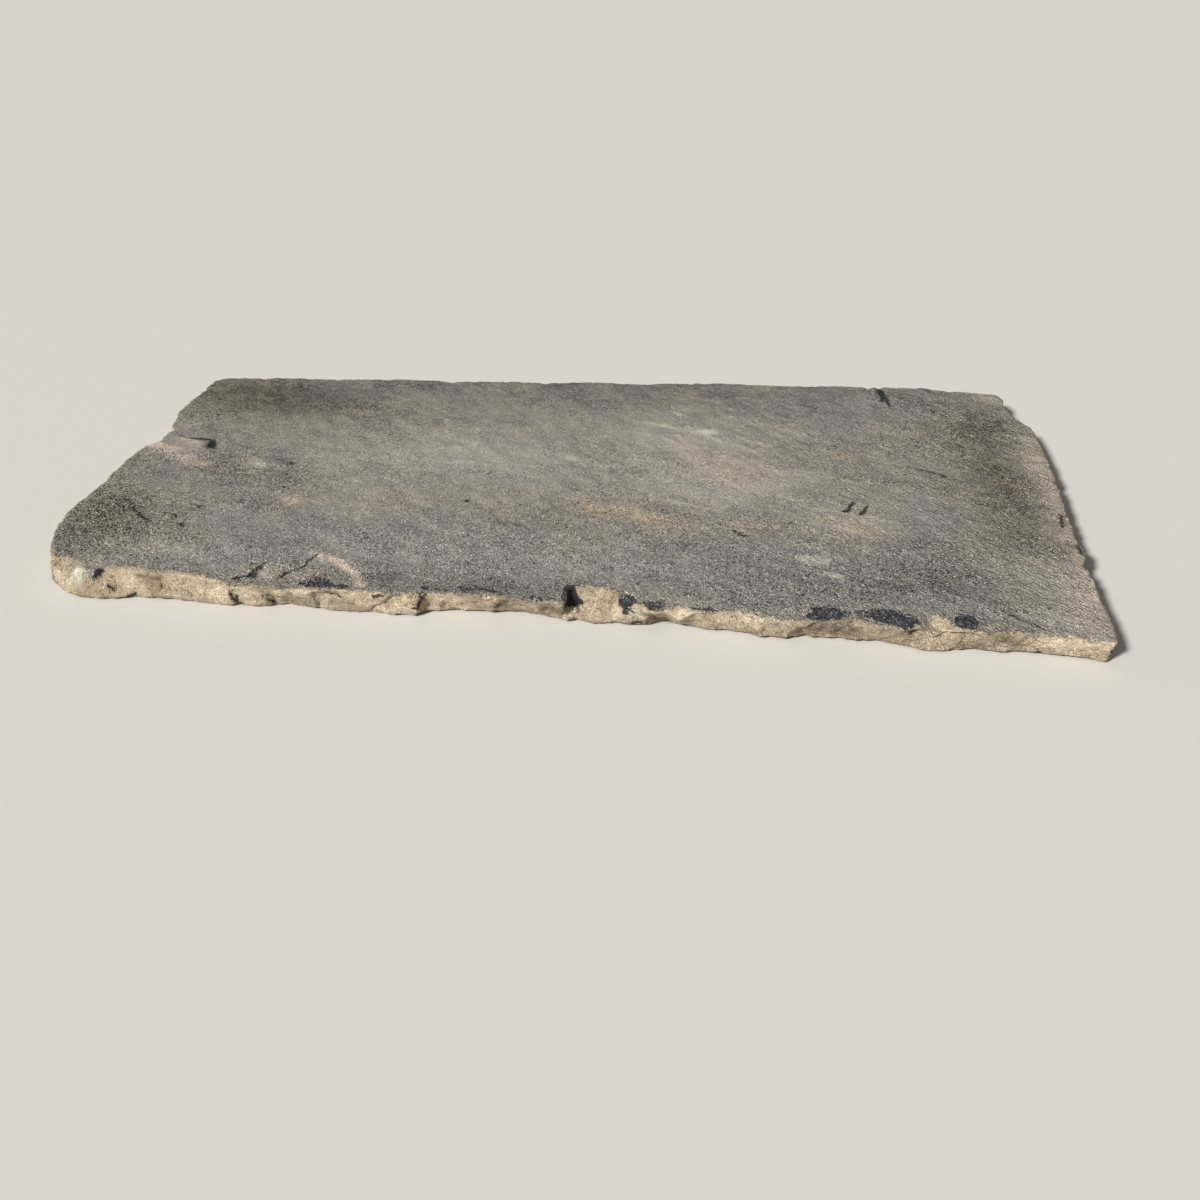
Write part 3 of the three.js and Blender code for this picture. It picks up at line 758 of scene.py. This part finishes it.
SCRATCHES_AND_HIGHLIGHTS = [   # pale lines on the riven face: scratches, and a painted highlight on one bedding crest
    ((0.280, -0.063), (0.308, -0.076), 0.0036), ((0.308, -0.076), (0.348, -0.085), 0.0050),
    ((0.348, -0.085), (0.368, -0.089), 0.0056), ((0.112, -0.061), (0.180, -0.084), 0.0030),
    ((0.074, 0.184), (0.102, 0.174), 0.0040), ((0.102, 0.174), (0.151, 0.153), 0.0056),
    ((0.151, 0.153), (0.180, 0.131), 0.0056), ((0.109, 0.229), (0.126, 0.220), 0.0040),
    # the line from (-0.422, -0.006) is a painted highlight on the second bedding left standing
    ((0.207, 0.146), (0.241, 0.120), 0.0060), ((-0.422, -0.006), (-0.407, -0.012), 0.0060),
    ((0.458, 0.034), (0.460, 0.032), 0.0056), ((0.436, -0.117), (0.437, -0.117), 0.0044),
    ((0.365, 0.207), (0.367, 0.207), 0.0044), ((0.193, 0.217), (0.194, 0.217), 0.0056),
    ((0.003, -0.118), (0.046, -0.193), 0.0022), ((0.126, -0.194), (0.138, -0.216), 0.0022),
    ((0.163, -0.252), (0.199, -0.310), 0.0020), ((0.171, -0.119), (0.198, -0.140), 0.0040),
]
LIT_RIDGES = [      # worn crests where the skin is thin, with a painted highlight where they face the lamp
    ((-0.580, 0.046), (-0.544, 0.028), 0.013), ((-0.544, 0.028), (-0.524, 0.011), 0.015),
    ((-0.524, 0.011), (-0.508, -0.004), 0.017), ((-0.508, -0.004), (-0.490, -0.010), 0.015),
    ((-0.539, 0.063), (-0.517, 0.058), 0.010), ((-0.276, -0.248), (-0.256, -0.254), 0.008),
    ((-0.256, -0.254), (-0.242, -0.268), 0.009), ((-0.242, -0.268), (-0.227, -0.286), 0.010),
    ((-0.227, -0.286), (-0.214, -0.312), 0.009),
]
PAINTED_LIGHT_STRETCHES = [       # painted light: paler stretches of the front edge, and the tooth's lit facet
    ((-0.365, 0.018), (-0.315, 0.018), 0.040), ((-0.175, 0.018), (-0.125, 0.018), 0.040),
    ((0.150, 0.018), (0.195, 0.018), 0.040), ((0.092, 0.022), (0.102, 0.016), 0.016),
    ((-0.500, 0.016), (-0.480, 0.016), 0.028), ((-0.604, 0.030), (-0.572, 0.030), 0.032),
    ((0.490, 0.026), (0.585, 0.024), 0.016),
]
fore = between(parts[1], 0.0, -0.10)     # keeps what is drawn on the front edge off the back edge
crack_and_shadow = strokes(CRACKS_AND_SHADOWS, False, uneven)
edge_crack_and_shadow = strokes(EDGE_CRACKS_AND_SHADOWS, True, uneven)
edge_chip_shade = strokes(EDGE_CHIP_SHADES, True, soft)
dirt_and_shade = times(fore, strokes(SMEARS_AND_SHADE, True, soft))
bloom_and_highlight = times(fore, strokes(BLOOM_AND_HIGHLIGHT, True, soft))
painted_light = times(fore, strokes(PAINTED_LIGHT_STRETCHES, True, soft))
scratch_and_highlight = strokes(SCRATCHES_AND_HIGHLIGHTS, False, uneven)
pit_shade = strokes(PIT_SHADES, False, soft)
ridge_highlight = strokes(LIT_RIDGES, False, soft)

# The skin: two greys by warmth, lighter and darker by the broad patches, the clouds and the grain, with rust
# stains, pale scratches and worn crests that carry a painted highlight
COOL_GREY = colour(133, 132, 129)
WARM_GREY = colour(149, 139, 127)
RUST = colour(171, 154, 130)
SCRATCH_AND_HIGHLIGHT_PALE = colour(190, 182, 168)
THIN_SKIN_HIGHLIGHT = colour(205, 190, 174)
warmth = sum_of(times(reading("warm"), 0.7), between(streak, 0.35, 0.65, 0.08, -0.08),
                between(cloud, 0.3, 0.7, 0.10, 0.40), between(mottle, 0.38, 0.62, -0.05, 0.05))
skin = blend(warmth, COOL_GREY, WARM_GREY)
flecks = sum_of(between(speck, 0.0, 1.0, -0.64, 0.64), between(crystal, 0.0, 1.0, -0.08, 0.08),
                between(grit, 0.38, 0.62, -0.14, 0.14), between(speck, 0.95, 0.96, 0.0, 0.55),
                between(crystal, 0.05, 0.04, 0.0, -0.30))
worn_rim = times(between(reading("rim"), -0.007, -0.001, 0.0, 0.45), reading("age"))
# the sunken dabs are painted a little darker: painted shade in the small pits
level = sum_of(reading("light"), between(cloud, 0.3, 0.7, 0.97, 1.14),
               between(parts[1], -0.06, -0.20, 0.0, 0.115),
               times(between(mottle, 0.38, 0.62, -0.09, 0.09), patchy),
               between(streak, 0.35, 0.65, -0.05, 0.05), times(flecks, strong),
               times(most(times(ticks, -1.0), 0.0), -0.15), worn_rim)
skin = scaled(skin, level)
ragged = sum_of(between(mottle, 0.3, 0.7, -0.30, 0.30), between(fleck, 0.3, 0.7, -0.20, 0.20),
                between(crystal, 0.0, 1.0, -0.32, 0.32), between(speck, 0.0, 1.0, -0.20, 0.20))
ochre = between(sum_of(reading("ochre"), times(ragged, 0.5)), 0.10, 0.90, 0.0, 0.60)
skin = blend(ochre, skin, scaled(RUST, level))
skin = blend(times(scratch_and_highlight, 0.62), skin, SCRATCH_AND_HIGHLIGHT_PALE)
# painted highlight: pale worn crests, lit by the lamp
thin_skin_and_highlight = times(ridge_highlight, between(parts[0], -0.40, -0.35, 0.66, 0.84))
skin = blend(thin_skin_and_highlight, skin, scaled(THIN_SKIN_HIGHLIGHT, sum_of(times(level, 0.6), 0.38)))

# The broken stone: cream with tan mottling, brown dirt and painted shade, white chips and painted highlights,
# dark grains and hair cracks, pinker under the face's skin and greyer on the older edges
CREAM = colour(215, 201, 178)
TAN = colour(168, 153, 130)
DIRT_AND_SHADE_BROWN = colour(112, 96, 76)
WHITE_AND_HIGHLIGHT = colour(226, 221, 206)
UNDER_SKIN = colour(182, 169, 153)
GRIME = colour(108, 97, 80)
HAIR_CRACK = colour(74, 63, 51)
OLD_BREAK = colour(146, 136, 121)
TAN_STRETCHES = [        # from one x to the next, this much more or less tan from there on
    (0.10, 0.14, -0.30), (0.22, 0.30, 0.22), (0.46, 0.52, -0.24), (-0.41, -0.49, 0.30), (-0.16, -0.06, 0.14),
]
tan = sum_of(between(grain(place, 0.026, 3.0, 0.55), 0.36, 0.64, 0.15, 0.85),
             between(crumb, 0.3, 0.7, -0.15, 0.15),
             *[between(parts[0], start, end, 0.0, change) for start, end, change in TAN_STRETCHES])
broken = blend(tan, CREAM, TAN)
# brown dirt, and painted shade under the tooth and beside the deep scoop's lip
broken = blend(times(dirt_and_shade, 0.62), broken, DIRT_AND_SHADE_BROWN)
# painted highlight: white on the top of the round bulge and on the tooth
broken = blend(bloom_and_highlight, broken, WHITE_AND_HIGHLIGHT)
inside = times(between(reading("rim"), -0.002, -0.006), between(reading("cream"), 1.1, 1.5, 1.0, 0.0))
broken = blend(inside, broken, UNDER_SKIN)
# painted highlight: a bright line along the fresh arris
glint = between(reading("rim"), 0.0045, 0.0010, 0.0, 0.14)
grains = sum_of(between(speck, 0.0, 1.0, -0.50, 0.50), between(crystal, 0.0, 1.0, -0.10, 0.10),
                between(crystal, 0.04, 0.03, 0.0, -0.30), between(grit, 0.38, 0.62, -0.14, 0.14))
# the paler stretches are painted light
bright = sum_of(between(crumb, 0.38, 0.62, 0.95, 1.05), times(grains, sandy), glint, times(painted_light, 0.20))
broken = scaled(broken, bright)
grime = between(sum_of(grain(place, 0.030, 5.0, 0.7), times(crumb, 0.4)), 0.76, 0.90, 0.0, 0.6)
broken = blend(grime, broken, GRIME)
drift = add("Math", {0: grain(place, 0.020, 3.0, 0.6), 1: -0.5}, operation="ADD").outputs[0]
hair = between(times(add("Math", {0: drift}, operation="ABSOLUTE").outputs[0], uneven), 0.030, 0.012)
broken = blend(times(hair, between(mottle, 0.44, 0.50, 0.0, 0.55)), broken, HAIR_CRACK)
greyed = times(reading("age"), between(mottle, 0.35, 0.6, 0.5, 1.0))
broken = blend(greyed, broken, scaled(OLD_BREAK, level))

# The whole surface: the skin gives way to broken stone at a ragged line by the arris, with the chalky scuffs,
# the dark crust and the painted shade of the scoops and hollows, the brown bed, and the black cracks, painted
# shadows and pits over both
CHALK = colour(190, 187, 180)
DARK_CRUST_AND_SHADE = colour(30, 36, 47)
CRUST_PALE = colour(98, 99, 102)
BED = colour(122, 111, 96)
BLACK_CRACK_AND_SHADE = colour(30, 29, 28)
near = most(sum_of(times(reading("rim"), 120.0), 0.35), -1.0)
fresh = between(sum_of(near, ragged, times(reading("cream"), 1.6), times(reading("age"), 0.3)), 0.10, 0.40)
surface = blend(fresh, skin, broken)
chalk = between(sum_of(reading("chalk"), times(ragged, 0.5)), 0.35, 0.9, 0.0, 0.78)
surface = blend(chalk, surface, scaled(CHALK, sum_of(times(level, 0.45), 0.57)))
pepper = sum_of(times(crystal, 0.6), times(speck, 0.6))
# The dark blue-grey crust, and painted shade: the strongest patches paint the scoops, the bulge's dent and
# the fold behind the standing bedding almost black
solid = between(reading("crust_and_shade"), 1.6, 2.6)
crust_and_shade = sum_of(reading("crust_and_shade"), times(ragged, 0.9), times(pepper, -1.1), 0.15, times(fresh, -1.5))
crust_and_shade = between(crust_and_shade, 0.05, 0.22, 0.0, 0.94)
crust_shade_colour = blend(times(between(pepper, 0.65, 1.0), sum_of(1.0, times(solid, -1.0))), DARK_CRUST_AND_SHADE, CRUST_PALE)
surface = blend(crust_and_shade, surface, scaled(crust_shade_colour, level))
bed = between(reading("rim"), 0.040, 0.060)
surface = blend(bed, surface, scaled(BED, level))
below_arris = times(between(reading("rim"), -0.004, 0.0), fore)
# painted shade: the black marks stand for cracks, and for shadows in pits, chips and behind small walls
face_fissure_and_shade = times(most(crack_and_shadow, pit_shade), between(bed, 1.0, 0.0))
fissure_and_shade = most(face_fissure_and_shade, times(most(edge_crack_and_shadow, edge_chip_shade), below_arris))
surface = blend(times(fissure_and_shade, 0.92), surface, BLACK_CRACK_AND_SHADE)

# Relief too fine for the mesh, in millimetres
fine = sum_of(times(grit, between(rightward, 0.0, 1.0, 2.2, 1.9)),
              times(hatch, between(rightward, 0.0, 1.0, 0.3, 1.4)),
              times(speck, 0.28), times(crystal, 0.09), times(fleck, 0.6),
              times(ripple, between(rightward, 0.0, 1.0, 0.4, 2.3)),
              times(lines, between(parts[0], 0.20, 0.55, 0.3, 4.8)))
relief = sum_of(times(fine, strong), times(swell, 4.7), times(ticks, 1.1), times(crumb, times(fresh, 1.6)),
                times(speck, times(fresh, 0.4)), times(grit, times(fresh, 0.8)),
                times(fissure_and_shade, -2.0), times(crust_and_shade, -0.3))
MILLIMETRE = 0.001
bumps = add("Bump", {"Height": relief, "Distance": MILLIMETRE, "Strength": 1.0}).outputs[0]

DULLEST = 0.96           # roughness of the stone
LEAST_DULL = 0.82
SPECULAR = 0.35
shader = tree.nodes["Principled BSDF"]
tree.links.new(surface, shader.inputs["Base Color"])
tree.links.new(between(grit, 0.3, 0.7, LEAST_DULL, DULLEST), shader.inputs["Roughness"])
tree.links.new(bumps, shader.inputs["Normal"])
shader.inputs["Specular IOR Level"].default_value = SPECULAR
slab_mesh.materials.append(stone)

# ---------------------------------------------------------------------------------------------------------
# Studio
# A plain pale floor just under the slab, one broad lamp like a hazy sun, on the left in front and 34 degrees
# up, and an even pale room.
FLOOR_HALF = 300.0
FLOOR_LEVEL = -0.0005
FLOOR_COLOUR = (0.62, 0.61, 0.59, 1.0)
FLOOR_ROUGHNESS = 0.9
LAMP_PLACE = (-3.1, -4.6, 3.75)      # only its direction counts
LAMP_BREADTH = math.radians(9)
LAMP_ENERGY = 5.15
LAMP_COLOUR = (1.0, 0.96, 0.90)
ROOM_COLOUR = (1.0, 0.98, 0.96, 1.0)
ROOM_STRENGTH = 0.20

floor_mesh = bpy.data.meshes.new("floor")
corners = [(x * FLOOR_HALF, y * FLOOR_HALF, FLOOR_LEVEL) for x, y in ((-1, -1), (1, -1), (1, 1), (-1, 1))]
floor_mesh.from_pydata(corners, [], [(0, 1, 2, 3)])
floor = bpy.data.objects.new("floor", floor_mesh)
bpy.context.collection.objects.link(floor)
pale = bpy.data.materials.new("floor")
pale.use_nodes = True
pale.node_tree.nodes["Principled BSDF"].inputs["Base Color"].default_value = FLOOR_COLOUR
pale.node_tree.nodes["Principled BSDF"].inputs["Roughness"].default_value = FLOOR_ROUGHNESS
floor_mesh.materials.append(pale)

lamp_data = bpy.data.lights.new("lamp", "SUN")
lamp_data.angle = LAMP_BREADTH
lamp_data.energy = LAMP_ENERGY
lamp_data.color = LAMP_COLOUR
lamp = bpy.data.objects.new("lamp", lamp_data)
lamp.location = LAMP_PLACE
lamp.rotation_euler = (-lamp.location.normalized()).to_track_quat("-Z", "Y").to_euler()
bpy.context.collection.objects.link(lamp)

world = bpy.data.worlds.new("room")
world.use_nodes = True
world.node_tree.nodes["Background"].inputs["Color"].default_value = ROOM_COLOUR
world.node_tree.nodes["Background"].inputs["Strength"].default_value = ROOM_STRENGTH
bpy.context.scene.world = world
bpy.context.scene.view_settings.view_transform = "Standard"
